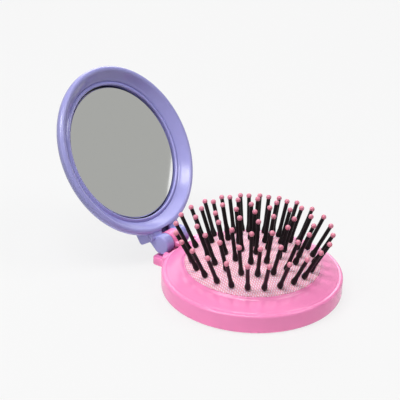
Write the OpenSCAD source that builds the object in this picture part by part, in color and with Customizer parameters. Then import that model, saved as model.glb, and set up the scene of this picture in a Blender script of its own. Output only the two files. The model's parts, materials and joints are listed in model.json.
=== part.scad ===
// Folding pop-up hairbrush with a mirror in its lid.
// A round base clamps a domed rubber cushion full of bristles; a round lid with the
// mirror is hinged to it. Millimetres. The origin is the centre of the base's underside,
// +Z is up, and the hinge lies on the -X side with its pin parallel to Y.

/* [Case] */
// Outer diameter of the base and of the lid
case_d = 65; // [62:1:72]
// Wall thickness of the base shell
wall = 1.9; // [1.6:0.1:2.2]
// Height of the base wall's crest
rim_h = 7.2; // [6.9:0.05:7.3]
// Height of the annulus where it starts beside the crest
step_h = 7.95; // [7.7:0.05:8.05]
// Height of the annulus where it meets the bead round the cushion
annulus_h = 9.3; // [9:0.05:9.5]
// Height of the bead round the cushion
bead_h = 10.15; // [9.9:0.05:10.25]
// Radial width of that bead
bead_w = 1.55; // [1.3:0.05:1.7]
// Thickness of the annulus
annulus_t = 1.35; // [1.1:0.05:1.6]
// Radial width of the base outside the opening that the cushion stands in
annulus_w = 8.3; // [8.2:0.1:8.8]
// Radius of the base's lower outer edge
edge_r = 0.9; // [0.5:0.1:1.2]

/* [Base inside] */
// Thickness of the ring that closes the base from below
back_t = 1.8; // [1.4:0.1:2.2]
// How far that ring stands back from the underside
back_recess = 0.25; // [0.1:0.05:0.4]
// Radial wall of the tube that carries the clamp ring
back_tube_t = 1.6; // [1.2:0.1:1.8]
// Thickness of the clamp ring
clamp_t = 0.8; // [0.6:0.1:1]
// Number of heat-staked posts
post_n = 6; // [4:1:8]
// Diameter of a heat-staked post
post_d = 2; // [1.6:0.1:2.2]
// Clearance round a post, and between the shell and what drops into it
post_fit = 0.1; // [0.05:0.05:0.15]

/* [Cushion] */
// Radius of the cushion's dome
dome_r = 46; // [44:1:50]
// Thickness of the rubber
cushion_t = 0.8; // [0.6:0.05:0.9]
// Height of the dome's edge over the bead
dome_rise = 0.05; // [0:0.05:0.2]
// Width of the clamped rubber flange beyond the opening
flange_w = 3; // [2.6:0.1:3.1]
// Clearance between the rubber and the opening, and under the rubber
cushion_fit = 0.2; // [0.15:0.05:0.3]

/* [Bristles] */
// Distance from the opening's edge in to the outermost ring of bristles
ring_inset = 2.7; // [2.5:0.1:2.9]
// Bristle length from the rubber to the centre of its ball tip
bristle_l = 13.4; // [12.6:0.1:13.4]
// Diameter of a bristle
shaft_d = 1.3; // [1.1:0.05:1.5]
// Diameter of a bristle's thick foot
foot_d = 2.1; // [1.8:0.05:2.3]
// Length over which the foot tapers to the shaft
foot_l = 3.5; // [2.8:0.1:4]
// Diameter of a ball tip
ball_d = 1.8; // [1.6:0.05:1.9]
// Diameter of the neck that passes through the rubber
neck_d = 1.2; // [1:0.05:1.3]
// Radial clearance of that neck in the rubber
neck_fit = 0.1; // [0.05:0.05:0.15]
// Thickness of the plates that the bristles grow from
plate_t = 0.9; // [0.7:0.05:1.1]
// Width of the strip under a row of bristles
strip_w = 2; // [1.8:0.1:2.2]
// Diameter of the disc that the thumb pushes
thumb_d = 18; // [15:0.5:20]
// Thickness of that disc
thumb_t = 0.9; // [0.7:0.05:1.1]

/* [Hinge] */
// Distance from the base wall to the hinge axis
hinge_out = 4; // [3.9:0.05:4.2]
// Height of the hinge axis
hinge_z = 7.7; // [7.6:0.05:7.8]
// Diameter of the knuckles
knuckle_d = 6.3; // [6:0.1:6.4]
// Width of the base's centre knuckle
centre_w = 4.5; // [4:0.1:5]
// Width of each lid knuckle
side_w = 4.4; // [4:0.1:5]
// Side clearance between knuckles
knuckle_gap = 0.15; // [0.1:0.05:0.25]
// Diameter of the hinge pin
pin_d = 2; // [1.6:0.1:2.4]
// Radial clearance of the pin
pin_fit = 0.05; // [0.02:0.01:0.08]
// Plastic left over the pin's hidden end
pin_cap = 1; // [0.8:0.1:1.4]
// Width of the two stop tabs
tab_w = 16.8; // [15:0.2:18]
// Height of the base's stop tab
tab_h = 3.2; // [2.6:0.1:3.4]
// How far the base's stop tab reaches past the hinge axis
tab_reach = 2.4; // [2:0.1:2.6]
// Gap left between the stop tabs when the lid lies flat
stop_gap = 0.2; // [0.1:0.05:0.3]
// Angle at which the lid stands open
lid_open = 122.8; // [100:0.1:150]

/* [Lid] */
// How far the lip reaches past the hinge axis towards the base
lip_drop = 0.18; // [0.05:0.01:0.2]
// Offset of the lid's centre from the base's when closed
lid_shift = 0.27; // [0.15:0.01:0.35]
// Thickness of the lid, from lip to back
lid_t = 7.75; // [7.3:0.05:7.75]
// Width of the lip
lip_w = 1.1; // [0.9:0.05:1.2]
// Height over the lip at which the lid's side starts to round over
side_h = 0.6; // [0.6:0.1:1.2]
// Width of the rounded edge of the lid's back
back_round = 13; // [10:0.5:13.5]
// Depth of the sloping face where it meets the mirror's ring
slope_depth = 2.9; // [2.7:0.05:3]
// Depth of the mirror below the lip
mirror_depth = 4; // [3.8:0.05:4.1]
// Distance from the lid's side in to the mirror's edge
mirror_margin = 7; // [6.8:0.1:8]
// Thickness of the mirror glass
mirror_t = 1; // [0.8:0.05:1.1]
// Thickness of the lacquer behind the glass
lacquer_t = 0.12; // [0.1:0.02:0.2]
// How far the lacquer shows beyond the glass
lacquer_edge = 0.2; // [0.1:0.05:0.3]
// Thickness of the adhesive foam
foam_t = 0.4; // [0.3:0.05:0.5]
// Clearance of the foam in its pocket
foam_fit = 0.1; // [0.05:0.05:0.2]
// Dark gap between the mirror and its ring
mirror_gap = 0.5; // [0.4:0.05:0.6]
// Width of the ring round the mirror
ring_w = 1.1; // [0.9:0.05:1.3]
// Height of that ring over the mirror
ring_up = 1.1; // [0.9:0.05:1.15]
// Clearance of the ring in its seat
ring_fit = 0.1; // [0.05:0.05:0.15]

/* [Hidden] */
$fn = 96;
eps = 0.01;

case_r = case_d / 2;
opening_r = case_r - annulus_w;
inner_r = case_r - wall;
mirror_r = case_r - mirror_margin;

// Bristle rings, evenly spaced from the centre outwards
ring_r = [for (k = [0:4]) (opening_r - ring_inset) * k / 4];
ring_n = [1, 6, 12, 18, 24];
ring_turn = [0, 15, 0, 10, 0];
// The two outer rings are divided into sectors, so that they can lean in
mid_sectors = 6;
outer_sectors = 8;
mid_per = ring_n[3] / mid_sectors;
outer_per = ring_n[4] / outer_sectors;

// Colours
pink = [0.95, 0.58, 0.75];
pale_pink = [0.97, 0.76, 0.83];
tip_pink = [0.86, 0.52, 0.63];
lilac = [0.62, 0.61, 0.86];
black = [0.10, 0.08, 0.08];

// Base wall: rounded crest, the flat on it, and the step up to the annulus
crest_r = 0.6;
crest_w = 1.5;
step_w = 1.9;
annulus_crown = 0.12;
bead_foot = 0.25;
bead_edge_r = 0.35;
// How far the hinge's parts are set into the base wall
wall_bite = 1.3;

// Base: where the layers under the bead meet
seat_z = annulus_h - annulus_t - 0.05;
clamp_top = seat_z - cushion_t;
clamp_bottom = clamp_top - clamp_t;
flange_r = opening_r + flange_w;
post_ring_r = flange_r + post_fit + post_d / 2;
clamp_r = post_ring_r + post_d / 2 + 0.6;
roof_z = clamp_top + post_fit;
tube_r = opening_r + 0.5;

// Cushion dome
dome_edge_z = bead_h + dome_rise;
dome_z = dome_edge_z - sqrt(pow(dome_r, 2) - pow(opening_r, 2));
collar_r = opening_r - cushion_fit;
plate_r = dome_r - cushion_t - cushion_fit;
centre_plate_r = ring_r[2] + neck_d / 2 + 0.8;

// Bristle proportions
ball_seat = sqrt(pow(ball_d, 2) - pow(shaft_d, 2)) / 2;
foot_lift = 0.12;
neck_depth = cushion_t + cushion_fit + plate_t / 2;

// Hinge
hinge_x = -case_r - hinge_out;
knuckle_r = knuckle_d / 2;
side_y0 = centre_w / 2 + knuckle_gap;
side_y1 = side_y0 + side_w;
sweep_r = hinge_out + 0.15;
scallop_r = knuckle_r + 0.3;

// Lid, drawn with its lip on z = 0, its back up and its centre on the Z axis
lid_hinge_x = hinge_x - lid_shift;
lid_hinge_z = lip_drop;
ring_in_r = mirror_r + mirror_gap;
ring_out_r = ring_in_r + ring_w;
ring_seat_r = ring_out_r + ring_fit;
slope_r = ring_seat_r + 0.25;
lip_in_r = case_r - lip_w;
floor_z = mirror_depth + mirror_t + lacquer_t + foam_t;
ring_ledge_z = mirror_depth + mirror_t;
lid_edge_z = lid_t - 0.2;

// Turning a shape made along +Z so that it stands on the dome at radius r, azimuth az
module on_dome(r, az) {
    translate([0, 0, dome_z])
        rotate([0, 0, az])
            rotate([0, asin(r / dome_r), 0])
                translate([0, 0, dome_r])
                    children();
}

module at_hinge(y0, y1) {
    translate([hinge_x, y0, hinge_z])
        rotate([-90, 0, 0])
            linear_extrude(y1 - y0)
                children();
}

module at_lid_hinge(y0, y1) {
    translate([lid_hinge_x, y0, lid_hinge_z])
        rotate([-90, 0, 0])
            linear_extrude(y1 - y0)
                children();
}

// From the lid's own place to the open pose
module lid_pose() {
    translate([hinge_x, 0, hinge_z])
        rotate([0, -lid_open, 0])
            translate([-lid_hinge_x, 0, -lid_hinge_z])
                children();
}

function arc(cx, cy, rx, ry, a0, a1, n) =
    [for (i = [0:n]) let (a = a0 + (a1 - a0) * i / n) [cx + rx * cos(a), cy + ry * sin(a)]];

// Base shell: wall, annulus and the bead round the cushion
function shell_profile() = let (
    bead_out = opening_r + bead_w,
    bead_mid = opening_r + bead_w * 0.42,
    bead_z = annulus_h + 0.1,
    step_in = case_r - step_w) concat(
    [[inner_r, 0]],
    arc(case_r - edge_r, edge_r, edge_r, edge_r, -90, 0, 6),
    arc(case_r - crest_r, rim_h - crest_r, crest_r, crest_r, 0, 90, 6),
    [[case_r - crest_w, rim_h], [step_in, step_h]],
    [[(step_in + bead_out) / 2, (step_h + annulus_h) / 2 + annulus_crown], [bead_out, annulus_h]],
    arc(bead_mid, bead_z, bead_out - bead_mid - bead_foot, bead_h - bead_z, 0, 90, 5),
    arc(opening_r + bead_edge_r, bead_h - bead_edge_r, bead_edge_r, bead_edge_r, 90, 180, 4),
    [[opening_r, seat_z], [flange_r + post_fit, seat_z], [flange_r + post_fit, roof_z],
     [clamp_r + post_fit, roof_z], [inner_r, rim_h - annulus_t + 0.3]]);

module shell_body() {
    post_z = back_recess + 0.5;
    rotate_extrude() polygon(shell_profile());
    for (i = [0:post_n - 1])
        rotate([0, 0, (i + 0.5) * 360 / post_n])
            translate([post_ring_r, 0, post_z])
                cylinder(h = roof_z + 0.3 - post_z, d = post_d);
}

// Stop tab with rounded corners, running out under the hinge
module base_tab() {
    corner = 1.2;
    tip_x = hinge_x - tab_reach;
    root_x = -case_r + wall_bite;
    translate([tip_x + corner, -tab_w / 2, 0])
        cube([root_x - tip_x - corner, tab_w, tab_h]);
    translate([tip_x, -tab_w / 2 + corner, 0])
        cube([corner + eps, tab_w - 2 * corner, tab_h]);
    for (s = [-1, 1])
        translate([tip_x + corner, s * (tab_w / 2 - corner), 0])
            cylinder(h = tab_h, r = corner);
}

// Fairing from the wall to the hinge, scalloped for the lid's knuckles
module base_fairing() {
    front = 1.9;
    difference() {
        translate([hinge_x + front, -tab_w / 2, 0])
            cube([hinge_out - front + wall_bite, tab_w, rim_h - 0.3]);
        for (s = [-1, 1])
            translate([hinge_x, s * (centre_w / 2 + tab_w / 2), hinge_z])
                rotate([90, 0, 0])
                    cylinder(h = tab_w, r = scallop_r, center = true);
    }
}

// Centre knuckle and the web that carries it
module base_knuckle() {
    web_angle = 38;
    web_top = hinge_z - rim_h + 0.1;
    web_in = hinge_out + wall_bite - 0.1;
    at_hinge(-centre_w / 2, centre_w / 2) {
        circle(r = knuckle_r);
        polygon([[0, 0], [knuckle_r * cos(web_angle), -knuckle_r * sin(web_angle)],
                 [hinge_out - 0.15, web_top], [web_in, web_top],
                 [web_in, knuckle_r + 0.6], [0, knuckle_r]]);
    }
}

module base_shell() {
    color(pink)
        difference() {
            union() {
                shell_body();
                base_tab();
                base_fairing();
                base_knuckle();
            }
            at_hinge(-centre_w, centre_w) circle(r = pin_d / 2 + pin_fit);
        }
}

// Ring that closes the base from below; its tube presses the clamp ring up
module back_ring() {
    plate_top = back_recess + back_t;
    color(pink)
        difference() {
            rotate_extrude()
                polygon([[tube_r, back_recess], [inner_r - post_fit, back_recess],
                         [inner_r - post_fit, plate_top], [tube_r + back_tube_t, plate_top],
                         [tube_r + back_tube_t, clamp_bottom], [tube_r, clamp_bottom]]);
            for (i = [0:post_n - 1])
                rotate([0, 0, (i + 0.5) * 360 / post_n])
                    translate([post_ring_r, 0, back_recess - 1])
                        cylinder(h = back_t + 2, d = post_d + 2 * post_fit);
        }
}

// Ring that clamps the rubber flange under the bead
module clamp_ring() {
    color(pale_pink)
        difference() {
            translate([0, 0, clamp_bottom]) cylinder(h = clamp_t, r = clamp_r);
            translate([0, 0, clamp_bottom - 1]) cylinder(h = clamp_t + 2, r = opening_r + 0.2);
            for (i = [0:post_n - 1])
                rotate([0, 0, (i + 0.5) * 360 / post_n])
                    translate([post_ring_r, 0, clamp_bottom - 1])
                        cylinder(h = clamp_t + 2, d = post_d + 2 * post_fit);
        }
}

// Domed rubber cushion with a clamped flange and a hole for each bristle
module cushion() {
    color(pale_pink)
        difference() {
            union() {
                intersection() {
                    translate([0, 0, dome_z]) sphere(dome_r);
                    translate([0, 0, clamp_top]) cylinder(h = dome_r, r = collar_r);
                }
                translate([0, 0, clamp_top]) cylinder(h = cushion_t, r = flange_r);
            }
            intersection() {
                translate([0, 0, dome_z]) sphere(dome_r - cushion_t);
                translate([0, 0, clamp_top - 1]) cylinder(h = dome_r, r = collar_r - cushion_t);
            }
            for (k = [0:4], i = [0:ring_n[k] - 1])
                on_dome(ring_r[k], ring_turn[k] + i * 360 / ring_n[k])
                    translate([0, 0, -2 * cushion_t])
                        cylinder(h = 3 * cushion_t, d = neck_d + 2 * neck_fit);
        }
}

// One bristle: neck, thick foot and shaft, standing on the rubber at z = 0
module bristle() {
    rotate_extrude()
        polygon([[0, -neck_depth], [neck_d / 2, -neck_depth], [neck_d / 2, foot_lift],
                 [foot_d * 0.36, foot_lift], [foot_d / 2, foot_lift + 0.45],
                 [foot_d / 2, foot_lift + 0.85], [shaft_d / 2, foot_l],
                 [shaft_d / 2, bristle_l - ball_seat], [0, bristle_l - ball_seat]]);
}

// One ball tip, flat where it sits on the bristle's end
module ball_tip() {
    translate([0, 0, bristle_l])
        difference() {
            sphere(d = ball_d);
            translate([0, 0, -ball_d - ball_seat])
                cylinder(h = ball_d, d = ball_d);
        }
}

// The bristles of one ring, or of a run of it that starts at index first
module bristle_row(k, first, count) {
    for (i = [first:first + count - 1])
        on_dome(ring_r[k], ring_turn[k] + i * 360 / ring_n[k])
            bristle();
}

module tip_row(k, first, count) {
    for (i = [first:first + count - 1])
        on_dome(ring_r[k], ring_turn[k] + i * 360 / ring_n[k])
            ball_tip();
}

// Strip under a run of bristles, square to them
module strip(k, first, count) {
    pitch = 360 / ring_n[k];
    over = atan((neck_d / 2 + 0.5) / ring_r[k]);
    span = (count - 1) * pitch + 2 * over;
    lean = asin(ring_r[k] / dome_r);
    rotate([0, 0, ring_turn[k] + first * pitch - over])
        rotate_extrude(angle = span)
            translate([ring_r[k], dome_z + dome_r * cos(lean)])
                rotate(-lean)
                    translate([-strip_w / 2, -cushion_t - cushion_fit - plate_t])
                        square([strip_w, plate_t]);
}

// A cap between two spheres about the dome's centre, cut to a radius
module dome_layer(outer, thick, r) {
    intersection() {
        difference() {
            translate([0, 0, dome_z]) sphere(outer);
            translate([0, 0, dome_z]) sphere(outer - thick);
        }
        cylinder(h = dome_r, r = r);
    }
}

module centre_bristles() {
    color(black) {
        dome_layer(plate_r, plate_t, centre_plate_r);
        for (k = [0:2]) bristle_row(k, 0, ring_n[k]);
    }
}

module centre_tips() {
    color(tip_pink)
        for (k = [0:2]) tip_row(k, 0, ring_n[k]);
}

module mid_bristles(i) {
    color(black) {
        strip(3, (i - 1) * mid_per, mid_per);
        bristle_row(3, (i - 1) * mid_per, mid_per);
    }
}

module mid_tips(i) {
    color(tip_pink) tip_row(3, (i - 1) * mid_per, mid_per);
}

module outer_bristles(i) {
    color(black) {
        strip(4, (i - 1) * outer_per - 1, outer_per);
        bristle_row(4, (i - 1) * outer_per - 1, outer_per);
    }
}

module outer_tips(i) {
    color(tip_pink) tip_row(4, (i - 1) * outer_per - 1, outer_per);
}

// Disc under the centre plate that the thumb pushes
module thumb_disc() {
    color(pink) dome_layer(plate_r - plate_t, thumb_t, thumb_d / 2);
}

module hinge_pin() {
    color([0.75, 0.75, 0.78])
        at_hinge(-side_y1 + pin_cap + 0.1, side_y1 - 0.1) circle(d = pin_d);
}

// Lid shell: lip, sloping face, stepped pocket for the mirror and domed back
function lid_profile() = let (
    drop = slope_depth - 0.8,
    hollow = 0.35,
    rabbet = slope_depth + 0.45,
    lip_r = 0.55) concat(
    [[0, floor_z], [ring_in_r, floor_z], [ring_in_r, ring_ledge_z],
     [ring_seat_r, ring_ledge_z], [ring_seat_r, rabbet], [slope_r, rabbet],
     [slope_r, slope_depth]],
    [for (i = [1:5]) let (t = i / 5) [slope_r + (lip_in_r - 0.2 - slope_r) * t,
        slope_depth - drop * t + hollow * sin(180 * t)]],
    [[lip_in_r + 0.05, 0.15], [lip_in_r + 0.3, 0]],
    arc(case_r - lip_r, lip_r, lip_r, lip_r, -90, 0, 6),
    arc(case_r - back_round, side_h, back_round, lid_edge_z - side_h, 0, 90, 12),
    [[0, lid_t]]);

// Arms and knuckles that reach back to the hinge
module lid_knuckles() {
    arm_z = 0.6;
    arm_l = hinge_out + lid_shift + lip_w + 0.2;
    for (y0 = [-side_y1, side_y0]) {
        at_lid_hinge(y0, y0 + side_w) circle(r = knuckle_r);
        translate([lid_hinge_x, y0, arm_z])
            cube([arm_l, side_w, lid_hinge_z + knuckle_r - arm_z]);
    }
}

// Stop block beside the hinge, with a rib that runs out on the lid's back
module lid_tab() {
    foot_z = 2;
    chamfer = 0.5;
    rib_l = 8;
    rib_t = 0.85;
    rib_foot = 1.7;
    rib_foot_z = 4.9;
    x0 = lid_hinge_x + tab_reach + stop_gap;
    x1 = lid_hinge_x + hinge_out + lid_shift + 2.5;
    top = lid_hinge_z + hinge_z - 0.1;
    rib_z = lid_t - 0.5;
    translate([0, tab_w / 2, 0])
        rotate([90, 0, 0])
            linear_extrude(tab_w)
                polygon([[x0, foot_z], [x0, top - chamfer], [x0 + chamfer, top],
                         [x1, top], [x1 + rib_l, rib_z], [x1 + rib_l, rib_z - rib_t],
                         [x1 + rib_foot, rib_foot_z], [x1, foot_z]]);
}

module lid_shell() {
    color(lilac)
        lid_pose()
            difference() {
                union() {
                    rotate_extrude() polygon(lid_profile());
                    lid_knuckles();
                    lid_tab();
                }
                at_lid_hinge(-side_y0, side_y0) circle(r = sweep_r);
                at_lid_hinge(-side_y1 + pin_cap, side_y1 + 1) circle(r = pin_d / 2 + pin_fit);
            }
}

// Bead ring that frames the mirror
module mirror_ring() {
    crest = mirror_depth - ring_up;
    color(lilac)
        lid_pose()
            rotate_extrude()
                polygon(concat(
                    [[ring_in_r + 0.05, ring_ledge_z]],
                    arc((ring_in_r + ring_out_r) / 2, crest + 0.6, ring_w / 2 - 0.05, 0.6, 180, 360, 8),
                    [[ring_out_r - 0.05, ring_ledge_z]]));
}

module lid_disc(z, h, r) {
    lid_pose() translate([0, 0, z]) cylinder(h = h, r = r);
}

module mirror_glass() {
    color([0.70, 0.72, 0.72]) lid_disc(mirror_depth, mirror_t, mirror_r);
}

module mirror_lacquer() {
    color([0.12, 0.12, 0.14])
        lid_disc(mirror_depth + mirror_t, lacquer_t, mirror_r + lacquer_edge);
}

module foam_pad() {
    color([0.2, 0.2, 0.22])
        lid_disc(floor_z - foam_t, foam_t, ring_in_r - foam_fit);
}

base_shell();
back_ring();
clamp_ring();
cushion();
thumb_disc();
centre_bristles();
centre_tips();
hinge_pin();
lid_shell();
mirror_ring();
mirror_glass();
mirror_lacquer();
foam_pad();
for (i = [1:mid_sectors])
    mid_bristles(i);
for (i = [1:mid_sectors])
    mid_tips(i);
for (i = [1:outer_sectors])
    outer_bristles(i);
for (i = [1:outer_sectors])
    outer_tips(i);
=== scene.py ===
"""Looks of a round folding hairbrush with a mirror in its lid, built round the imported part."""

import json
import logging
import math
from dataclasses import dataclass
from enum import Enum
from typing import Sequence

import bmesh
import bpy
from mathutils import Matrix, Vector

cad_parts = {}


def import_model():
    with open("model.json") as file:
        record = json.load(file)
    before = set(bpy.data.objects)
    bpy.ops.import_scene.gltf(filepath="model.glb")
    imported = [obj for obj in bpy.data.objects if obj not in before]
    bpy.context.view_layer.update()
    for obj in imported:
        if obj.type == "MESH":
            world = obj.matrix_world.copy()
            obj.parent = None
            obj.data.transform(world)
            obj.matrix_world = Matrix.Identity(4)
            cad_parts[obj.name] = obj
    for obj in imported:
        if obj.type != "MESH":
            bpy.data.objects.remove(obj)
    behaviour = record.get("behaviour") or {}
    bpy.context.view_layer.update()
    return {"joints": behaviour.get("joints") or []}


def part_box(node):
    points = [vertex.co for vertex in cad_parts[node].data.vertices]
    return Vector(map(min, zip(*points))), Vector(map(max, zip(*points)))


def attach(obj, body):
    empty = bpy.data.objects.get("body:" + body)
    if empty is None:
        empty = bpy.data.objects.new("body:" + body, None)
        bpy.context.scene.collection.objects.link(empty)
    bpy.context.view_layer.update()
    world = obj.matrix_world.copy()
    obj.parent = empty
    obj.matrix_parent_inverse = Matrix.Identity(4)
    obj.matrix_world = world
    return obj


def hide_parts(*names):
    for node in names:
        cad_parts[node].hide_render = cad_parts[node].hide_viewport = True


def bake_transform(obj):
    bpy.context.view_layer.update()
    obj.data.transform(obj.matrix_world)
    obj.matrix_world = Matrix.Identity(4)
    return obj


LOG = logging.getLogger("brush")
MM = 0.001
Point = tuple[float, float]
Colour = tuple[float, float, float]
Way = tuple[float, float, float]


def linear(red: int, green: int, blue: int) -> Colour:
    """Turn a display colour of 0 to 255 into scene-linear values.

    Args:
        red: Red as displayed.
        green: Green as displayed.
        blue: Blue as displayed.

    Returns:
        The colour that a shader takes.
    """

    def channel(value: int) -> float:
        """Linear value of one channel."""
        share = value / 255
        return share / 12.92 if share <= 0.04045 else ((share + 0.055) / 1.055) ** 2.4

    return channel(red), channel(green), channel(blue)


# --------------------------------------------------------------------------- finishes


class Tree:
    """A material's or world's node tree, with short calls that add and link nodes."""

    def __init__(self, owner: bpy.types.ID) -> None:
        """Take the node tree of a material or world."""
        owner.use_nodes = True
        self.nodes = owner.node_tree.nodes
        self.links = owner.node_tree.links

    def add(self, kind: str, **settings: object) -> bpy.types.Node:
        """Add a node and give its attributes and its unlinked inputs.

        Args:
            kind: The node's type name, without ShaderNode.
            settings: Attributes in small letters, inputs by their names with _ for spaces.

        Returns:
            The new node.
        """
        node = self.nodes.new("ShaderNode" + kind)
        for key, value in settings.items():
            if key[0].islower():
                setattr(node, key, value)
            else:
                node.inputs[key.replace("_", " ")].default_value = value
        return node

    def link(self, source: bpy.types.NodeSocket, target: bpy.types.NodeSocket) -> None:
        """Join two sockets."""
        self.links.new(source, target)

    def combine(
        self, operation: str, first: bpy.types.NodeSocket, second: bpy.types.NodeSocket
    ) -> bpy.types.NodeSocket:
        """Join two values with a math operation."""
        node = self.add("Math", operation=operation)
        self.link(first, node.inputs[0])
        self.link(second, node.inputs[1])
        return node.outputs[0]

    def length(self, vector: bpy.types.NodeSocket) -> bpy.types.NodeSocket:
        """How long a vector is."""
        node = self.add("VectorMath", operation="LENGTH")
        self.link(vector, node.inputs[0])
        return node.outputs["Value"]

    def ramp(
        self, value: bpy.types.NodeSocket, low: float, high: float, start: float = 0.0, end: float = 1.0
    ) -> bpy.types.NodeSocket:
        """Map a value smoothly from one span to another.

        Args:
            value: The value.
            low: Where the first span starts.
            high: Where it ends, which may lie below its start.
            start: What comes out at low.
            end: What comes out at high.

        Returns:
            The mapped value.
        """
        node = self.add("MapRange", interpolation_type="SMOOTHSTEP")
        for name, number in (("From Min", low), ("From Max", high), ("To Min", start), ("To Max", end)):
            node.inputs[name].default_value = number
        self.link(value, node.inputs["Value"])
        return node.outputs["Result"]

    def tint(
        self,
        value: bpy.types.NodeSocket,
        dark: Colour | bpy.types.NodeSocket,
        light: Colour | bpy.types.NodeSocket,
    ) -> bpy.types.NodeSocket:
        """Mix two colours, each given as it is or as a socket, by a value of 0 to 1."""
        node = self.add("Mix", data_type="RGBA")
        for slot, colour in ((6, dark), (7, light)):
            if isinstance(colour, bpy.types.NodeSocket):
                self.link(colour, node.inputs[slot])
            else:
                node.inputs[slot].default_value = (*colour, 1)
        self.link(value, node.inputs[0])
        return node.outputs[2]

    def mix(
        self, share: bpy.types.NodeSocket, first: bpy.types.NodeSocket, second: bpy.types.NodeSocket
    ) -> bpy.types.NodeSocket:
        """Mix two shaders by a value of 0 to 1."""
        node = self.add("MixShader")
        for slot, source in enumerate((share, first, second)):
            self.link(source, node.inputs[slot])
        return node.outputs[0]


class Pattern(Tree):
    """A material that holds one Principled shader, and what patterns need."""

    def __init__(self, name: str) -> None:
        """Start the material."""
        self.material = bpy.data.materials.new(name)
        super().__init__(self.material)
        self.shader = self.nodes["Principled BSDF"]

    def coordinates(self, scale: float, turn: float = 0.0, uv: bool = False) -> bpy.types.NodeSocket:
        """Object or UV coordinates, scaled.

        Args:
            scale: How many pattern units a metre has.
            turn: Turn about Z, in degrees.
            uv: Whether to follow the piece's UV map.

        Returns:
            The vector socket.
        """
        source = self.add("TexCoord").outputs["UV" if uv else "Object"]
        mapping = self.add("Mapping", Scale=(scale, scale, scale), Rotation=(0, 0, math.radians(turn)))
        self.link(source, mapping.inputs["Vector"])
        return mapping.outputs["Vector"]

    def noise(self, vector: bpy.types.NodeSocket, scale: float, detail: float) -> bpy.types.NodeSocket:
        """Soft noise of about 0 to 1 along a vector."""
        node = self.add("TexNoise", Scale=scale, Detail=detail, Roughness=0.55)
        self.link(vector, node.inputs["Vector"])
        return node.outputs["Fac"]

    def rough(self, noise: bpy.types.NodeSocket, low: float, high: float) -> None:
        """Let the roughness run over a range with the middle of a noise."""
        node = self.add("MapRange", From_Min=0.3, From_Max=0.7, To_Min=low, To_Max=high)
        self.link(noise, node.inputs["Value"])
        self.link(node.outputs["Result"], self.shader.inputs["Roughness"])

    def paint(self, colour: bpy.types.NodeSocket) -> None:
        """Give the shader its base colour."""
        self.link(colour, self.shader.inputs["Base Color"])

    def bump(self, height: bpy.types.NodeSocket, depth: float, strength: float = 1.0) -> None:
        """Raise the surface by a height socket, with a depth in metres."""
        node = self.add("Bump", Distance=depth, Strength=strength)
        self.link(height, node.inputs["Height"])
        self.link(node.outputs["Normal"], self.shader.inputs["Normal"])

    def settle(self, **values: float) -> bpy.types.Material:
        """Set shader inputs that are the same all over, and give the material."""
        for key, value in values.items():
            self.shader.inputs[key.replace("_", " ")].default_value = value
        return self.material


@dataclass(frozen=True)
class MouldedPlastic:
    """Injection-moulded plastic: a soft mottle, an uneven gloss and a faint grain."""

    name: str
    colour: Colour
    roughness: float = 0.3
    mottle: float = 0.05
    grain: float = 0.0000035
    scatter: float = 0.0
    shine: float = 0.5

    def build(self) -> bpy.types.Material:
        """Make the material."""
        mat = Pattern(self.name)
        where = mat.coordinates(1 / MM)
        deep = tuple(c * (1 - self.mottle) for c in self.colour)
        bright = tuple(min(1.0, c * (1 + self.mottle)) for c in self.colour)
        mat.paint(mat.tint(mat.noise(where, scale=0.12, detail=3), deep, bright))
        mat.rough(mat.noise(where, scale=0.9, detail=4), self.roughness * 0.88, self.roughness * 1.14)
        mat.bump(mat.noise(where, scale=5.0, detail=2), self.grain)
        return mat.settle(
            Subsurface_Weight=self.scatter, Subsurface_Scale=0.002, Specular_IOR_Level=self.shine
        )


@dataclass(frozen=True)
class WovenRubber:
    """Pale rubber pressed with a fine net of crossing grooves, with painted shade that deepens its colour
    towards the rim, where the sheet meets the bead.
    """

    name: str = "woven_rubber"
    field: Colour = linear(252, 229, 239)
    groove: Colour = linear(242, 157, 182)
    # rim: a deeper pink painted towards the edge, a painted shade for where the sheet meets the bead
    rim: Colour = linear(253, 218, 235)
    pitch: float = 0.0008
    depth: float = 0.00005
    turn: float = 129.7
    lean: float = 28.7
    inner: float = 0.017
    outer: float = 0.0245

    def grooves(self, mat: Pattern, turn: float) -> bpy.types.NodeSocket:
        """Evenly spaced thin grooves, turned in the piece's plane."""
        wave = mat.add("TexWave", wave_type="BANDS", bands_direction="X", Scale=1.0)
        mat.link(mat.coordinates(math.pi / (10 * self.pitch), turn, uv=True), wave.inputs["Vector"])
        return mat.ramp(wave.outputs["Fac"], 0.45, 0.97)

    def build(self) -> bpy.types.Material:
        """Make the material."""
        mat = Pattern(self.name)
        leans = (self.turn + self.lean, self.turn - self.lean)
        net = mat.combine("MAXIMUM", *(self.grooves(mat, turn) for turn in leans))
        # edge: how far out a point lies, which fades the painted shade in from inner to outer
        edge = mat.ramp(mat.length(mat.coordinates(1.0, uv=True)), self.inner, self.outer)
        mat.paint(mat.tint(net, mat.tint(edge, self.field, self.rim), self.groove))
        mat.rough(mat.noise(mat.coordinates(1 / MM, uv=True), scale=2.5, detail=3), 0.5, 0.66)
        down = mat.add("Math", operation="SUBTRACT")
        down.inputs[0].default_value = 1.0
        mat.link(net, down.inputs[1])
        mat.bump(down.outputs[0], self.depth, strength=0.6)
        return mat.settle(Subsurface_Weight=0.1, Subsurface_Scale=0.001)


@dataclass(frozen=True)
class SilveredGlass:
    """Mirror glass with a faint unevenness in its polish."""

    name: str = "silvered_glass"
    colour: Colour = (0.95, 0.96, 0.95)

    def build(self) -> bpy.types.Material:
        """Make the material."""
        mat = Pattern(self.name)
        haze = mat.noise(mat.coordinates(1 / MM), scale=0.25, detail=2)
        deep = tuple(c * 0.985 for c in self.colour)
        mat.paint(mat.tint(haze, deep, self.colour))
        mat.rough(haze, 0.012, 0.022)
        return mat.settle(Metallic=1.0)


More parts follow.
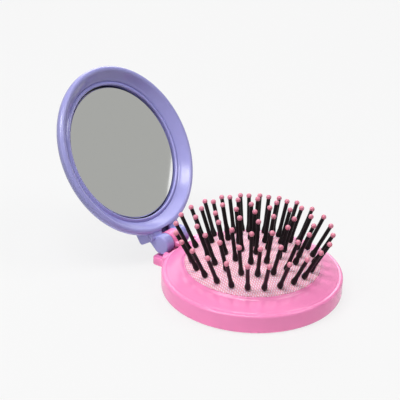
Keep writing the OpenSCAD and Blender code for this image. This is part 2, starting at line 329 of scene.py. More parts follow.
@dataclass(frozen=True)
class DrawnSteel:
    """Steel wire with fine lines along Y."""

    name: str = "drawn_steel"
    colour: Colour = (0.62, 0.62, 0.64)

    def build(self) -> bpy.types.Material:
        """Make the material."""
        mat = Pattern(self.name)
        stretch = mat.add("Mapping", Scale=(1.0, 0.05, 1.0))
        mat.link(mat.coordinates(1 / MM), stretch.inputs["Vector"])
        lines = mat.noise(stretch.outputs["Vector"], scale=6.0, detail=4)
        deep = tuple(c * 0.8 for c in self.colour)
        mat.paint(mat.tint(lines, deep, self.colour))
        mat.rough(lines, 0.25, 0.45)
        return mat.settle(Metallic=1.0)


class Finish(Enum):
    """The part's finishes, each with the record's slot that it belongs to."""

    PINK = ("pink_plastic", MouldedPlastic("pink_moulding", linear(247, 137, 191), roughness=0.19))
    PALE = ("pale_plastic", MouldedPlastic("pale_moulding", linear(238, 190, 210), roughness=0.5))
    RUBBER = ("rubber", WovenRubber())
    NYLON = (
        "bristle_nylon",
        MouldedPlastic(
            "black_nylon", linear(17, 9, 12), roughness=0.4, mottle=0.12, grain=0.000004, shine=0.22
        ),
    )
    RESIN = (
        "tip_resin",
        MouldedPlastic(
            "ball_resin", linear(222, 134, 158), roughness=0.34, mottle=0.06, grain=0.000002, scatter=0.1
        ),
    )
    LILAC = ("lilac_plastic", MouldedPlastic("lilac_moulding", linear(155, 154, 213), roughness=0.18))
    MIRROR = ("mirror", SilveredGlass())
    LACQUER = (
        "lacquer",
        MouldedPlastic("black_lacquer", linear(20, 20, 24), roughness=0.22, mottle=0.1),
    )
    FOAM = (
        "foam",
        MouldedPlastic("grey_foam", linear(52, 52, 58), roughness=0.95, mottle=0.2, grain=0.00006),
    )
    STEEL = ("steel", DrawnSteel())

    @property
    def slot(self) -> str:
        """The record's slot name."""
        return self.value[0]

    @property
    def material(self) -> bpy.types.Material:
        """The one material of this finish, made when first asked for."""
        recipe = self.value[1]
        return bpy.data.materials.get(recipe.name) or recipe.build()


# --------------------------------------------------------------------------- mesh work


def arc(cx: float, cz: float, rx: float, rz: float, start: float, end: float, steps: int) -> list[Point]:
    """Points along an ellipse's arc.

    Args:
        cx: Centre, outwards.
        cz: Centre, upwards.
        rx: Half width.
        rz: Half height.
        start: First angle in degrees.
        end: Last angle in degrees.
        steps: Number of steps.

    Returns:
        One more point than steps.
    """
    turns = [math.radians(start + (end - start) * i / steps) for i in range(steps + 1)]
    return [(cx + rx * math.cos(a), cz + rz * math.sin(a)) for a in turns]


def bowed(start: Point, end: Point, bow: float, steps: int) -> list[Point]:
    """Points along a line that bows upwards, without its end."""
    shares = [i / steps for i in range(steps)]
    return [
        (
            start[0] + (end[0] - start[0]) * t,
            start[1] + (end[1] - start[1]) * t + bow * math.sin(math.pi * t),
        )
        for t in shares
    ]


def spin_profile(bm: bmesh.types.BMesh, profile: Sequence[Point], closed: bool, steps: int) -> None:
    """Spin a profile of (radius, height) points, in mm, about Z.

    Args:
        bm: The mesh to add to.
        profile: Points in order.
        closed: Whether the last point joins the first.
        steps: Number of steps round.
    """
    verts = [bm.verts.new((r * MM, 0, z * MM)) for r, z in profile]
    pairs = list(zip(verts, verts[1:])) + ([(verts[-1], verts[0])] if closed else [])
    edges = [bm.edges.new(pair) for pair in pairs]
    bmesh.ops.spin(
        bm,
        geom=verts + edges,
        cent=(0, 0, 0),
        axis=(0, 0, 1),
        angle=2 * math.pi,
        steps=steps,
        use_merge=True,
    )
    bmesh.ops.remove_doubles(bm, verts=bm.verts, dist=1e-7)


def round_edges(
    bm: bmesh.types.BMesh, edges: list[bmesh.types.BMEdge], offset: float, segments: int
) -> None:
    """Round some edges by an offset in mm."""
    bmesh.ops.bevel(
        bm, geom=edges, offset=offset * MM, segments=segments, profile=0.5, affect="EDGES", material=-1
    )


def prism(
    bm: bmesh.types.BMesh,
    outline: Sequence[Point],
    low: float,
    high: float,
    soften: float,
    upright: bool = False,
) -> None:
    """Extrude an outline, in mm, and round its end edges.

    Args:
        bm: The mesh to add to.
        outline: Corners in order, as (x, z), or as (x, y) where upright.
        low: Where it starts, along Y, or along Z where upright.
        high: Where it ends.
        soften: Rounding of the edges of both ends, in mm.
        upright: Whether to extrude along Z.
    """
    spots = [(x, t, low) if upright else (x, low, t) for x, t in outline]
    face = bm.faces.new([bm.verts.new(Vector(spot) * MM) for spot in spots])
    ends = list(face.edges)
    grown = bmesh.ops.extrude_face_region(bm, geom=[face], use_keep_orig=True)["geom"]
    far = [g for g in grown if isinstance(g, bmesh.types.BMVert)]
    reach = (high - low) * MM
    bmesh.ops.translate(bm, verts=far, vec=(0, 0, reach) if upright else (0, reach, 0))
    ends += [g for g in grown if isinstance(g, bmesh.types.BMEdge)]
    if soften:
        round_edges(bm, ends, soften, segments=3)


def barrel(
    bm: bmesh.types.BMesh, x: float, z: float, radius: float, y0: float, y1: float, soften: float
) -> None:
    """A cylinder along Y with rounded ends, all in mm."""
    middle = Matrix.Translation((x * MM, (y0 + y1) / 2 * MM, z * MM))
    made = bmesh.ops.create_cone(
        bm,
        cap_ends=True,
        segments=72,
        radius1=radius * MM,
        radius2=radius * MM,
        depth=(y1 - y0) * MM,
        matrix=middle @ Matrix.Rotation(math.radians(90), 4, "X"),
    )
    rim = {e for v in made["verts"] for e in v.link_edges if any(len(f.verts) > 4 for f in e.link_faces)}
    if soften:
        round_edges(bm, list(rim), soften, segments=4)


def spun(name: str, profile: Sequence[Point], steps: int, closed: bool = False) -> bpy.types.Mesh:
    """A small spun shape to stamp with, from a profile as in spin_profile."""
    bm = bmesh.new()
    spin_profile(bm, profile, closed, steps)
    shape = bpy.data.meshes.new(name)
    bm.to_mesh(shape)
    bm.free()
    return shape


def stamp(bm: bmesh.types.BMesh, shape: bpy.types.Mesh, place: Matrix) -> None:
    """Add a copy of a mesh at a place."""
    copy = shape.copy()
    copy.transform(place)
    bm.from_mesh(copy)
    bpy.data.meshes.remove(copy)


def solid(bm: bmesh.types.BMesh, name: str, sharp: float = 38.0, outward: bool = True) -> bpy.types.Object:
    """Turn a finished bmesh into an object with smooth faces and sharp creases.

    Args:
        bm: The mesh, which is freed.
        name: The piece's name.
        sharp: Angle over which an edge stays sharp, in degrees.
        outward: Whether to make the faces point outwards.

    Returns:
        The new object, at the origin.
    """
    if outward:
        bmesh.ops.recalc_face_normals(bm, faces=bm.faces)
    mesh = bpy.data.meshes.new(name)
    bm.to_mesh(mesh)
    bm.free()
    mesh.polygons.foreach_set("use_smooth", [True] * len(mesh.polygons))
    mesh.set_sharp_from_angle(angle=math.radians(sharp))
    piece = bpy.data.objects.new(name, mesh)
    bpy.context.scene.collection.objects.link(piece)
    return piece


def carve(piece: bpy.types.Object, tool: bmesh.types.BMesh, sharp: float) -> None:
    """Cut a tool's shape out of a piece for good, and mark its creases anew.

    Args:
        piece: The piece.
        tool: The shape to cut out, which is freed.
        sharp: Angle over which an edge stays sharp, in degrees.
    """
    cutter = solid(tool, piece.name + "_cutter")
    cut = piece.modifiers.new("cut", "BOOLEAN")
    cut.object, cut.operation, cut.solver = cutter, "DIFFERENCE", "EXACT"
    graph = bpy.context.evaluated_depsgraph_get()
    mesh = bpy.data.meshes.new_from_object(piece.evaluated_get(graph))
    mesh.set_sharp_from_angle(angle=math.radians(sharp))
    piece.modifiers.clear()
    piece.data = mesh
    bpy.data.objects.remove(cutter)


def present(piece: bpy.types.Object, body: str, finish: Finish, stands_for: Sequence[str] = ()) -> None:
    """Dress a piece, let it ride, and say what it stands for.

    Args:
        piece: The new piece.
        body: The CAD body that it moves with.
        finish: Its finish.
        stands_for: CAD nodes that it replaces.
    """
    piece.data.materials.clear()
    piece.data.materials.append(finish.material)
    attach(piece, body)
    if stands_for:
        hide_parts(*stands_for)
    LOG.info("%s rides on %s, %d faces", piece.name, body, len(piece.data.polygons))


def dress(node: str, finish: Finish) -> None:
    """Give a CAD node that stays its finish."""
    piece = bpy.data.objects[node]
    piece.data.materials.clear()
    piece.data.materials.append(finish.material)
    LOG.info("%s keeps its solid in %s", node, finish.name.lower())


# --------------------------------------------------------------------------- sizes


@dataclass(frozen=True)
class Layout:
    """Sizes that several sub-assemblies share, in mm."""

    case_r: float
    hinge_x: float
    hinge_z: float
    lid_open: float
    opening_r: float = 24.2
    bead_h: float = 10.15
    dome_r: float = 46.0
    dome_edge: float = 10.2
    rubber_t: float = 0.8
    knuckle_r: float = 3.6
    centre_y: float = 2.25
    side_y0: float = 2.4
    side_y1: float = 6.8
    tab_y: float = 8.4
    tab_h: float = 3.2
    tab_reach: float = 2.4
    lid_shift: float = 0.27
    lip_drop: float = 0.18

    @classmethod
    def from_frame(cls, joints: Sequence[dict]) -> "Layout":
        """Take the case's radius, the hinge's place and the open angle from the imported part."""
        hinge = next(joint for joint in joints if joint["name"] == "lid_close")
        case_r = round(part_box("base_shell")[1].x / MM, 3)
        x, _, z = (round(value / MM, 3) for value in hinge["pos_m"])
        return cls(case_r=case_r, hinge_x=x, hinge_z=z, lid_open=-hinge["range_deg"][0])

    @property
    def dome_z(self) -> float:
        """Height of the dome's centre."""
        return self.dome_edge - math.sqrt(self.dome_r**2 - self.opening_r**2)

    def dome_height(self, r: float) -> float:
        """Height of the dome at a radius."""
        return self.dome_z + math.sqrt(self.dome_r**2 - r**2)

    def on_dome(self, r: float, azimuth: float) -> Matrix:
        """Place of a shape made along +Z that stands on the dome."""
        return (
            Matrix.Translation((0, 0, self.dome_z * MM))
            @ Matrix.Rotation(math.radians(azimuth), 4, "Z")
            @ Matrix.Rotation(math.asin(r / self.dome_r), 4, "Y")
            @ Matrix.Translation((0, 0, self.dome_r * MM))
        )

    @property
    def lid_place(self) -> Matrix:
        """From the lid's own frame, lip on z = 0 and back up, to its open place."""
        return (
            Matrix.Translation((self.hinge_x * MM, 0, self.hinge_z * MM))
            @ Matrix.Rotation(math.radians(-self.lid_open), 4, "Y")
            @ Matrix.Translation(((self.lid_shift - self.hinge_x) * MM, 0, -self.lip_drop * MM))
        )


# --------------------------------------------------------------------------- base


@dataclass
class Base:
    """The pink base: case wall, hinge side and what closes it from below."""

    size: Layout
    wall: float = 1.9
    edge_r: float = 1.7
    rim_h: float = 7.2
    crest_r: float = 0.9
    annulus_h: float = 9.12
    annulus_bow: float = 0.2
    foot_out: float = 1.65
    seat_z: float = 7.9
    seat_r: float = 27.0
    wall_top: float = 6.2
    scallop_r: float = 5.7
    scallop_y: float = 8.2
    scallop_lift: float = 1.0
    root_in: float = 1.6
    fairing_y: float = 12.6
    flare_y: float = 12.9
    stake_ring: float = 28.3
    stake_n: int = 6

    def profile(self) -> list[Point]:
        """Section through the case, from the foot outwards and over the bead."""
        case, opening = self.size.case_r, self.size.opening_r
        rim, top, foot = self.rim_h, self.size.bead_h, self.annulus_h
        points = [(case - self.wall, 0.05), (case - self.wall + 0.1, 0.0)]
        points += arc(case - self.edge_r, self.edge_r, self.edge_r, self.edge_r, -90, 0, 10)
        points += arc(case - self.crest_r, rim - self.crest_r, self.crest_r, self.crest_r, 0, 90, 12)
        step = [(1.2, -0.04), (1.4, -0.06), (1.55, 0.0), (1.75, 0.12), (1.95, 0.25), (2.15, 0.36)]
        points += [(case - inset, rim + rise) for inset, rise in step]
        end = opening + self.foot_out
        points += bowed((case - 2.4, rim + 0.43), (end, foot), self.annulus_bow, 12)
        flank = [(0.0, 0.0), (0.2, 0.07), (0.4, 0.19), (0.6, 0.315), (0.78, 0.44), (0.95, 0.62), (1.1, 0.8)]
        points += [(end - inset, foot + rise) for inset, rise in flank]
        bead = [(0.4, 0.1), (0.22, 0.03), (0.08, 0.06), (0.02, 0.14), (0.0, 0.28)]
        points += [(opening + out, top - drop) for out, drop in bead]
        return points + [
            (opening, self.seat_z), (self.seat_r, self.seat_z), (case - self.wall, self.wall_top)
        ]

    def case(self) -> None:
        """The wall, annulus and bead in one spun moulding."""
        bm = bmesh.new()
        spin_profile(bm, self.profile(), closed=True, steps=192)
        case = solid(bm, "case_moulding", 32)
        carve(case, self.scallops(), 32)
        present(case, "base", Finish.PINK, ["base_shell"])

    def scallops(self) -> bmesh.types.BMesh:
        """Room for the lid's two knuckles."""
        s = self.size
        tool = bmesh.new()
        for near, far in ((-self.scallop_y, -s.centre_y), (s.centre_y, self.scallop_y)):
            barrel(tool, s.hinge_x, s.hinge_z + self.scallop_lift, self.scallop_r, near, far, 0)
        return tool

    @property
    def root(self) -> float:
        """Where the fairing and the stop tab start inside the wall, along X."""
        return -self.size.case_r + self.root_in

    def fairing(self) -> None:
        """The fairing on the hinge side, with room for the lid's knuckles."""
        root, front = self.root, self.size.hinge_x + 1.9
        inner, side, flare = root + 1.1, self.fairing_y, self.flare_y
        bm = bmesh.new()
        corners = [(root, -side), (inner, -flare), (inner, flare), (root, side)]
        flank = [(-32.15, 10.6), (-32.55, 9.5), (-32.7, 8.6), (-32.6, 8.23), (front, 8.1)]
        outline = corners + flank + [(x, -y) for x, y in reversed(flank)]
        prism(bm, outline, 0.05, self.rim_h - 0.1, 0.25, upright=True)
        fairing = solid(bm, "hinge_fairing", 30)
        carve(fairing, self.scallops(), 30)
        present(fairing, "base", Finish.PINK)

    def knuckle(self) -> None:
        """The centre knuckle on its web."""
        s = self.size
        bm = bmesh.new()
        barrel(bm, s.hinge_x, s.hinge_z, s.knuckle_r, -s.centre_y, s.centre_y, 0.22)
        web = [(0.0, 0.6), (2.0, 1.6), (3.7, 0.75), (5.1, 0.65)]
        web += [(5.1, -4.6), (2.2, -4.6), (0.6, -3.09), (-0.4, -3.1)]
        prism(bm, [(s.hinge_x + x, s.hinge_z + z) for x, z in web], -s.centre_y, s.centre_y, 0.15)
        present(solid(bm, "centre_knuckle", 30), "base", Finish.PINK)

    def stop_tab(self) -> None:
        """The tab that the lid's stop block meets when the lid is flat."""
        s = self.size
        tip, corner = s.hinge_x - s.tab_reach, 1.2
        bm = bmesh.new()
        outline = [(self.root, -s.tab_y), (self.root, s.tab_y)]
        outline += arc(tip + corner, s.tab_y - corner, corner, corner, 90, 180, 8)
        outline += arc(tip + corner, -s.tab_y + corner, corner, corner, 180, 270, 8)
        prism(bm, outline, 0.0, s.tab_h, 0.35, upright=True)
        present(solid(bm, "stop_tab", 30), "base", Finish.PINK)

    def underside(self) -> None:
        """The closing ring stays as it is, with a domed head on each stake."""
        dress("back_ring", Finish.PINK)
        dress("clamp_ring", Finish.PALE)
        dome = [(0, 0.08), (0.7, 0.12), (1.25, 0.2), (1.45, 0.32), (1.45, 0.6), (0, 0.6)]
        head = spun("stake", dome, steps=32, closed=True)
        bm = bmesh.new()
        for i in range(self.stake_n):
            azimuth = math.radians((i + 0.5) * 360 / self.stake_n)
            spot = Matrix.Rotation(azimuth, 4, "Z") @ Matrix.Translation((self.stake_ring * MM, 0, 0))
            stamp(bm, head, spot)
        present(solid(bm, "stake_heads", 40), "base", Finish.PINK)

    def build(self) -> None:
        """Make the base."""
        self.case()
        self.fairing()
        self.knuckle()
        self.stop_tab()
        self.underside()


# --------------------------------------------------------------------------- cushion and bristles


@dataclass
class Cushion:
    """The domed rubber sheet, clamped at its rim."""

    size: Layout
    edge_gap: float = 0.02
    skirt: tuple[float, ...] = (9.9, 9.2, 8.3)
    flange_r: float = 27.0
    flange_z: float = 7.5
    fold_start: float = 10.25
    fold_end: float = 11.9

    def build(self) -> None:
        """Make the sheet and give it its wall."""
        s = self.size
        rim = s.opening_r - self.edge_gap
        widest = math.asin(rim / s.dome_r)
        steps = 64
        profile = [
            (s.dome_r * math.sin(widest * i / steps), s.dome_z + s.dome_r * math.cos(widest * i / steps))
            for i in range(steps + 1)
        ]
        profile += [(rim, z) for z in self.skirt]
        profile += [(rim + 0.4, self.flange_z), (self.flange_r, self.flange_z)]
        bm = bmesh.new()
        spin_profile(bm, profile, closed=False, steps=160)
        sheet = solid(bm, "rubber_cushion", 60)
        layer = sheet.data.uv_layers.new(name="plan")
        for loop in sheet.data.loops:
            x, y, _ = sheet.data.vertices[loop.vertex_index].co
            layer.data[loop.index].uv = (x, y)
        if sheet.data.polygons[0].normal.z < 0:
            sheet.data.flip_normals()
        wall = sheet.modifiers.new("wall", "SOLIDIFY")
        wall.thickness, wall.offset = s.rubber_t * MM, -1
        sheet.data.materials.append(Finish.RUBBER.material)
        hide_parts("cushion")
        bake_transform(sheet)
        LOG.info("rubber_cushion folds between base and pad")


@dataclass
class Bristles:
    """Rows of black bristles with ball tips, on the plates that carry them."""

    size: Layout
    pitch: float = 5.375
    counts: tuple[int, ...] = (1, 6, 12, 18, 24)
    turns: tuple[float, ...] = (0, 15, 0, 10, 0)
    length: float = 13.4
    shaft_r: float = 0.72
    foot_r: float = 1.1
    neck_r: float = 0.6
    ball_r: float = 0.95
    under_gap: float = 0.2
    plate_t: float = 0.9
    plate_edge: float = 0.8
    strip_w: float = 2.0
    strip_end: float = 0.5
    thumb_r: float = 9.0
    thumb_t: float = 0.9
    groove_depth: float = 0.12
    inner_rings: int = 3

    def bristle(self) -> bpy.types.Mesh:
        """A neck, a rounded foot that tapers like a drumstick, and a shaft."""
        foot, shaft, neck, top = self.foot_r, self.shaft_r, self.neck_r, self.length - 0.3
        depth = self.size.rubber_t + self.under_gap + self.plate_t / 2
        outline = [(0, -depth), (neck, -depth), (neck, 0.08), (foot * 0.72, 0.1), (foot * 0.9, 0.28)]
        outline += [(foot, 0.62), (foot, 1.0), (foot * 0.95, 1.5), (foot * 0.84, 2.2), (foot * 0.72, 2.9)]
        outline += [(shaft * 1.03, 3.6), (shaft, 4.6), (shaft * 0.99, self.length - 1.1)]
        outline += [(shaft * 0.99, self.length - 0.5), (shaft * 0.8, top), (0, top)]
        return spun("bristle", outline, steps=18)

    def ball(self) -> bpy.types.Mesh:
        """A ball tip with a flat seat on the shaft."""
        seat = math.degrees(math.asin(self.shaft_r * 0.9 / self.ball_r))
        outline = [(0, self.length - self.ball_r * math.cos(math.radians(seat)))]
        outline += arc(0, self.length, self.ball_r, self.ball_r, -90 + seat, 90, 10)
        outline[-1] = (0, self.length + self.ball_r)
        return spun("ball", outline, steps=20)

    def row(self, shape: bpy.types.Mesh, bm: bmesh.types.BMesh, ring: int, first: int, count: int) -> None:
        """Stamp a run of one ring."""
        for i in range(first, first + count):
            azimuth = self.turns[ring] + i * 360 / self.counts[ring]
            stamp(bm, shape, self.size.on_dome(self.pitch * ring, azimuth))

    def strip(self, bm: bmesh.types.BMesh, ring: int, first: int, count: int) -> None:
        """The curved bar under a run of bristles, square to them."""
        s = self.size
        r = self.pitch * ring
        step = 360 / self.counts[ring]
        over = math.degrees(math.atan((self.neck_r + self.strip_end) / r))
        lean = math.asin(r / s.dome_r)
        top = -s.rubber_t - self.under_gap
        half = self.strip_w / 2
        place = Matrix.Rotation(math.radians(self.turns[ring] + first * step - over), 4, "Z")
        corners = [(-half, top - self.plate_t), (half, top - self.plate_t), (half, top), (-half, top)]
        spots = []
        for u, v in corners:
            x = r + u * math.cos(lean) + v * math.sin(lean)
            z = s.dome_height(r) - u * math.sin(lean) + v * math.cos(lean)
            spots.append(place @ Vector((x * MM, 0, z * MM)))
        verts = [bm.verts.new(p) for p in spots]
        loop = [bm.edges.new(pair) for pair in zip(verts, verts[1:] + verts[:1])]
        angle = math.radians((count - 1) * step + 2 * over)
        bmesh.ops.spin(
            bm, geom=verts + loop, cent=(0, 0, 0), axis=(0, 0, 1), angle=angle, steps=12, use_merge=False
        )
        bmesh.ops.holes_fill(bm, edges=bm.edges, sides=4)

    def cap(
        self, bm: bmesh.types.BMesh, outer: float, thick: float, radius: float, grooved: bool = False
    ) -> None:
        """A round plate between two spheres about the dome's centre, in mm.

        Args:
            bm: The mesh to add to.
            outer: Radius of the upper sphere.
            thick: Thickness.
            radius: The plate's own radius.
            grooved: Whether its lower face has shallow rings.
        """
        s = self.size
        steps = 16
        top = [radius * i / steps for i in range(steps + 1)]
        upper = [(r, s.dome_z + math.sqrt(outer**2 - r**2)) for r in top]
        inner = outer - thick
        lower = [(r, s.dome_z + math.sqrt(inner**2 - r**2)) for r in reversed(top)]
        if grooved:
            rings = [i % 2 and 0.2 < r / radius < 0.9 for i, (r, _) in enumerate(lower)]
            lower = [(r, z + (self.groove_depth if ring else 0)) for ring, (r, z) in zip(rings, lower)]
        spin_profile(bm, upper + lower, closed=False, steps=72)

    def build(self) -> None:
        """Make the centre, the six middle sectors and the eight outer ones."""
        s = self.size
        bristle, ball = self.bristle(), self.ball()
        plate_r = s.dome_r - s.rubber_t - self.under_gap
        bm = bmesh.new()
        self.cap(bm, plate_r, self.plate_t, self.pitch * 2 + self.neck_r + self.plate_edge)
        for ring in range(self.inner_rings):
            self.row(bristle, bm, ring, 0, self.counts[ring])
        present(solid(bm, "centre_row", 40), "pad", Finish.NYLON, ["centre_bristles"])
        bm = bmesh.new()
        for ring in range(self.inner_rings):
            self.row(ball, bm, ring, 0, self.counts[ring])
        present(solid(bm, "centre_balls", 50), "pad", Finish.RESIN, ["centre_tips"])
        bm = bmesh.new()
        self.cap(bm, plate_r - self.plate_t, self.thumb_t, self.thumb_r, grooved=True)
        present(solid(bm, "thumb_button", 30), "pad", Finish.PINK, ["thumb_disc"])
        for ring, name, number, lead in ((3, "mid", 6, 0), (4, "outer", 8, 1)):
            count = self.counts[ring] // number
            for i in range(1, number + 1):
                first = (i - 1) * count - lead
                body = f"{name}_sector_{i}"
                bm = bmesh.new()
                self.strip(bm, ring, first, count)
                self.row(bristle, bm, ring, first, count)
                present(solid(bm, f"{name}_row_{i}", 40), body, Finish.NYLON, [f"{name}_bristles_{i}"])
                bm = bmesh.new()
                self.row(ball, bm, ring, first, count)
                present(solid(bm, f"{name}_balls_{i}", 50), body, Finish.RESIN, [f"{name}_tips_{i}"])


# --------------------------------------------------------------------------- lid


@dataclass
class Lid:
    """The lilac lid with its knuckles, mirror ring and mirror, drawn lip down and turned open."""

    size: Layout
    thick: float = 7.75
    back_round: float = 13.0
    crown: float = 0.2
    slope_depth: float = 2.9
    slope_bow: float = 0.1
    crest_depth: float = 2.9
    mirror_depth: float = 4.0
    mirror_t: float = 1.0
    floor_depth: float = 5.52
    mirror_r: float = 25.2
    bead_r: float = 0.45
    ring_r: float = 26.0
    seat_r: float = 27.2
    slope_r: float = 27.45
    lip_r: float = 1.3
    sweep_r: float = 4.15
    notch: float = 5.25
    notch_depth: float = 4.6
    gusset_y: float = 8.1
    stop_gap: float = 0.2
    block_l: float = 6.77
    rib_l: float = 8.0
    glass_edge: float = 0.3

    @property
    def hinge(self) -> Point:
        """The hinge axis in the lid's own frame."""
        return self.size.hinge_x - self.size.lid_shift, self.size.lip_drop

    def turned(self, bm: bmesh.types.BMesh) -> bmesh.types.BMesh:
        """Move a mesh from the lid's own frame to its open place."""
        bmesh.ops.transform(bm, matrix=self.size.lid_place, verts=bm.verts)
        return bm

    def profile(self) -> list[Point]:
        """Section through the shell, from the pocket's floor over the lip to the back."""
        case, ledge = self.size.case_r, self.mirror_depth + self.mirror_t
        slope, deep = self.slope_r, self.slope_depth
        points = [(0, self.floor_depth), (self.ring_r, self.floor_depth)]
        points += [(self.ring_r, ledge), (self.seat_r, ledge), (self.seat_r, deep + 0.5)]
        points += [(slope - 0.12, deep + 0.3), (slope + 0.12, deep + 0.06), (slope + 0.5, deep - 0.17)]
        start, end = points[-1], (case - self.lip_r * 1.66, self.lip_r * 0.25)
        points += bowed(start, end, self.slope_bow, 8)[1:]
        points += arc(case - self.lip_r, self.lip_r, self.lip_r, self.lip_r, -131, 0, 14)
        side, turn = self.lip_r, self.back_round
        points += arc(case - turn, side, turn, self.thick - self.crown - side, 0, 90, 28)[1:]
        return points + [(18, self.thick - 0.12), (9, self.thick - 0.03), (0, self.thick)]

    def shell(self) -> None:
        """The lid's spun shell, cut out round the base's knuckle."""
        bm = bmesh.new()
        spin_profile(bm, self.profile(), closed=False, steps=192)
        shell = solid(bm, "lid_moulding", 32)
        self.clear_knuckle(shell, 32)
        present(shell, "lid", Finish.LILAC, ["lid_shell"])

    def clear_knuckle(self, piece: bpy.types.Object, sharp: float) -> None:
        """Cut room for the base's knuckle out of a piece, and move the piece to its open place.

        Args:
            piece: A piece in the lid's own frame.
            sharp: Angle over which an edge stays sharp, in degrees.
        """
        x, z = self.hinge
        near, far, deep = x + 1.0, x + self.notch, self.notch_depth
        half = self.size.side_y0
        sweep, notch = bmesh.new(), bmesh.new()
        barrel(sweep, x, z, self.sweep_r, -half, half, 0)
        prism(notch, [(near, -1.0), (far, -1.0), (far, deep), (near, deep)], -half, half, 0)
        for tool in (sweep, notch):
            carve(piece, tool, sharp)
        piece.data.transform(self.size.lid_place)

    def knuckles(self) -> None:
        """Two knuckles on arms with gussets."""
        s = self.size
        x, z = self.hinge
        bm = bmesh.new()
        for near, far in ((-s.side_y1, -s.side_y0), (s.side_y0, s.side_y1)):
            barrel(bm, x, z, s.knuckle_r, near, far, 0.75)
            arm = [(0.0, 0.5), (2.9, 0.55), (3.9, 0.3), (5.6, 0.4)]
            top = [(5.6, 0.9), (2.9, 0.75), (1.6, 0.2), (0.6, -0.04), (0.0, 0.0)]
            arm += [(a, s.knuckle_r + rise) for a, rise in top]
            prism(bm, [(x + a, z + b) for a, b in arm], near + 0.05, far - 0.05, 0.2)
        gusset = [(2.65, 1.2), (3.4, 0.7), (5.8, 0.7), (5.8, 3.0), (2.65, 3.0)]
        prism(bm, [(x + a, z + b) for a, b in gusset], -self.gusset_y, -s.side_y0, 0.3)
        prism(bm, [(x + a, z + b) for a, b in gusset], s.side_y0, self.gusset_y, 0.3)
        present(solid(self.turned(bm), "lid_knuckles", 30), "lid", Finish.LILAC)

    def stop_block(self) -> None:
        """The block that meets the base's stop tab, with a rib behind it."""
        s = self.size
        x, z = self.hinge
        bm = bmesh.new()
        left, right, top = x + s.tab_reach + self.stop_gap, x + self.block_l, z + s.hinge_z - 0.1
        end = right + self.rib_l
        outline = [(left, 2.0), (left, top - 0.9), (left + 0.25, top - 0.3), (left + 0.9, top)]
        outline += [(right, top), (end, self.thick - 0.5), (end, self.thick - 1.35)]
        outline += [(right + 1.7, 4.9), (right, 2.0)]
        prism(bm, outline, -s.tab_y, s.tab_y, 0.35)
        block = solid(bm, "stop_block", 30)
        self.clear_knuckle(block, 30)
        present(block, "lid", Finish.LILAC)

    def mirror(self) -> None:
        """The bead ring, the glass with a ground edge, and the lacquer and foam behind it."""
        inner, outer, bead = self.ring_r - 0.2, self.seat_r - 0.02, self.bead_r
        crest, ledge = self.crest_depth, self.mirror_depth + self.mirror_t
        bm = bmesh.new()
        points = [(inner + bead, ledge), (inner + bead, crest + 2 * bead)]
        points += arc(inner + bead, crest + bead, bead, bead, 110, 300, 14)
        points += [(outer - 0.2, crest + 0.36), (outer, crest + 0.55), (outer, ledge)]
        spin_profile(bm, points, closed=True, steps=160)
        present(solid(self.turned(bm), "mirror_bead", 40), "lid", Finish.LILAC, ["mirror_ring"])

        bm = bmesh.new()
        top, r, edge = self.mirror_depth, self.mirror_r, self.glass_edge
        pane = [(0, top), (r - edge, top), (r, top + edge), (r, ledge), (0, ledge)]
        spin_profile(bm, pane, closed=False, steps=160)
        present(solid(self.turned(bm), "mirror_pane", 20), "lid", Finish.MIRROR, ["mirror_glass"])
        dress("mirror_lacquer", Finish.LACQUER)
        dress("foam_pad", Finish.FOAM)

    def build(self) -> None:
        """Make the lid."""
        self.shell()
        self.knuckles()
        self.stop_block()
        self.mirror()


# --------------------------------------------------------------------------- studio


@dataclass(frozen=True)
class Softbox:
    """A square lamp: where it hangs and its side, in metres, and its watts."""

    name: str
    spot: Way
    side: float
    power: float

    def hang(self, aim: Way) -> None:
        """Hang the lamp, facing a point."""
        data = bpy.data.lights.new(self.name, "AREA")
        data.size, data.energy = self.side, self.power
        lamp = bpy.data.objects.new(self.name, data)
        turn = (Vector(aim) - Vector(self.spot)).to_track_quat("-Z", "Y").to_matrix().to_4x4()
        lamp.matrix_world = Matrix.Translation(self.spot) @ turn
        bpy.context.scene.collection.objects.link(lamp)


SOFTBOXES = (
    Softbox("softbox_above", (0.05, -0.18, 0.78), 0.26, 1.9),
    Softbox("softbox_left", (-0.18, -0.357, 0.693), 0.34, 3.2),
    Softbox("softbox_low", (-0.144, -0.691, 0.376), 0.45, 0.9),
    Softbox("softbox_right", (0.40, 0.23, 0.655), 0.36, 1.9),
    Softbox("softbox_back", (-0.42, 0.55, 0.40), 0.45, 2.0),
    Softbox("softbox_high", (-0.219, 0.335, 0.693), 0.45, 0.8),
)


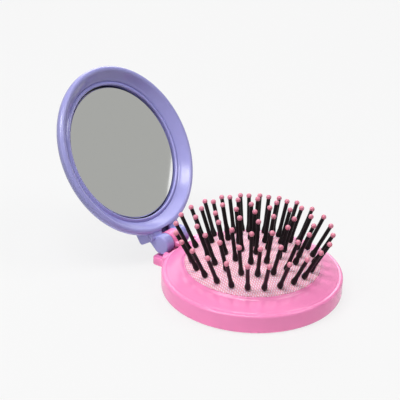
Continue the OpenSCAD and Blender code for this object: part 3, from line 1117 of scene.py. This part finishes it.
@dataclass
class Studio:
    """The camera, the pale floor and backdrop, and the lamps.

    The floor throws light up only near the object, from bright_to inwards, and fades until dim_from.
    """

    aim: Way = (0, 0, 0.02)
    eye: Way = (0.23880, -0.36466, 0.24560)
    right: Way = (0.80358, 0.59461, 0.02639)
    up: Way = (-0.27864, 0.33665, 0.89946)
    back: Way = (0.52595, -0.73014, 0.43621)
    lens: float = 124.79
    sensor: float = 36.0
    backdrop: Colour = linear(245, 245, 245)
    floor_half: float = 3.0
    floor_drop: float = 0.00005
    shade_share: float = 0.12
    bright_to: float = 0.06
    dim_from: float = 0.12
    bright: float = 0.98
    dim: float = 0.1
    surround: float = 0.03
    grey_card: Colour = (0.405, 0.405, 0.39285)
    glance: Way = (0.6095, 0.7057, 0.3613)
    glance_span: tuple[float, float] = (0.45, 0.93)
    panel_edge: Way = (-0.25502, 0.56778, -0.78268)
    panel_soft: float = 0.0002

    def camera(self) -> None:
        """The camera at its fitted place."""
        data = bpy.data.cameras.new("camera")
        data.sensor_width, data.lens = self.sensor, self.lens
        data.clip_start, data.clip_end = 0.01, 20.0
        turn = Matrix((self.right, self.up, self.back)).transposed().to_4x4()
        camera = bpy.data.objects.new("camera", data)
        camera.matrix_world = Matrix.Translation(self.eye) @ turn
        bpy.context.scene.collection.objects.link(camera)
        bpy.context.scene.camera = camera

    def seen(self, tree: Tree) -> bpy.types.NodeSocket:
        """A value of 1 for rays from the camera, from gloss and through glass."""
        rays = tree.add("LightPath").outputs
        direct = tree.combine("MAXIMUM", rays["Is Camera Ray"], rays["Is Glossy Ray"])
        return tree.combine("MAXIMUM", direct, rays["Is Transmission Ray"])

    def shade(self, share: float) -> tuple[float, float, float, float]:
        """A share of the backdrop's colour."""
        return (*(c * share for c in self.backdrop), 1)

    def floor(self) -> None:
        """A wide pale floor that keeps the object's shadow and is clear from below."""
        bm = bmesh.new()
        bmesh.ops.create_grid(bm, x_segments=1, y_segments=1, size=self.floor_half)
        bmesh.ops.translate(bm, verts=bm.verts, vec=(0, 0, -self.floor_drop))
        floor = solid(bm, "floor", outward=False)
        material = bpy.data.materials.new("pale_floor")
        tree = Tree(material)
        tree.nodes.clear()
        matt = tree.add("BsdfDiffuse")
        away = tree.length(tree.add("TexCoord").outputs["Object"])
        fade = tree.ramp(away, self.bright_to, self.dim_from, self.bright, self.dim)
        tree.link(fade, matt.inputs["Color"])
        shown = tree.add("BsdfDiffuse", Color=self.shade(self.shade_share))
        glow = tree.add("Emission", Color=self.shade(1 - self.shade_share))
        both = tree.add("AddShader")
        tree.link(shown.outputs[0], both.inputs[0])
        tree.link(glow.outputs[0], both.inputs[1])
        front = tree.mix(self.seen(tree), matt.outputs[0], both.outputs[0])
        below = tree.add("NewGeometry").outputs["Backfacing"]
        surface = tree.mix(below, front, tree.add("BsdfTransparent").outputs[0])
        tree.link(surface, tree.add("OutputMaterial").inputs["Surface"])
        floor.data.materials.append(material)

    def reach(
        self, tree: Tree, where: bpy.types.NodeSocket, way: Way, low: float, high: float
    ) -> bpy.types.NodeSocket:
        """How far a direction lies along another, mapped smoothly from a span to 0 to 1."""
        dot = tree.add("VectorMath", operation="DOT_PRODUCT")
        dot.inputs[1].default_value = Vector(way).normalized()
        tree.link(where, dot.inputs[0])
        return tree.ramp(dot.outputs["Value"], low, high)

    def world(self) -> None:
        """A pale surround, with a grey card's worth of grey where the mirror looks."""
        world = bpy.data.worlds.new("surround")
        tree = Tree(world)
        tree.nodes.clear()
        light = tree.add("Background", Color=(1.0, 1.0, 1.0, 1), Strength=self.surround)
        where = tree.add("TexCoord").outputs["Generated"]
        near = self.reach(tree, where, self.glance, *self.glance_span)
        before = self.reach(tree, where, self.panel_edge, self.panel_soft, -self.panel_soft)
        grey = tree.combine("MULTIPLY", near, before)
        grey = tree.combine("MULTIPLY", grey, tree.add("LightPath").outputs["Is Glossy Ray"])
        shown = tree.add("Background")
        tree.link(tree.tint(grey, self.backdrop, self.grey_card), shown.inputs["Color"])
        surface = tree.mix(self.seen(tree), light.outputs[0], shown.outputs[0])
        tree.link(surface, tree.add("OutputWorld").inputs["Surface"])
        bpy.context.scene.world = world

    def build(self) -> None:
        """Set the studio up."""
        self.camera()
        self.floor()
        self.world()
        for softbox in SOFTBOXES:
            softbox.hang(self.aim)
        bpy.context.scene.view_settings.view_transform = "Standard"


def main() -> None:
    """Dress the part and set up the studio."""
    logging.basicConfig(level=logging.INFO, format="%(name)s: %(message)s")
    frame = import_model()
    layout = Layout.from_frame(frame["joints"])
    Studio().build()
    Base(layout).build()
    Cushion(layout).build()
    Bristles(layout).build()
    Lid(layout).build()
    dress("hinge_pin", Finish.STEEL)


if __name__ == "__main__":
    main()
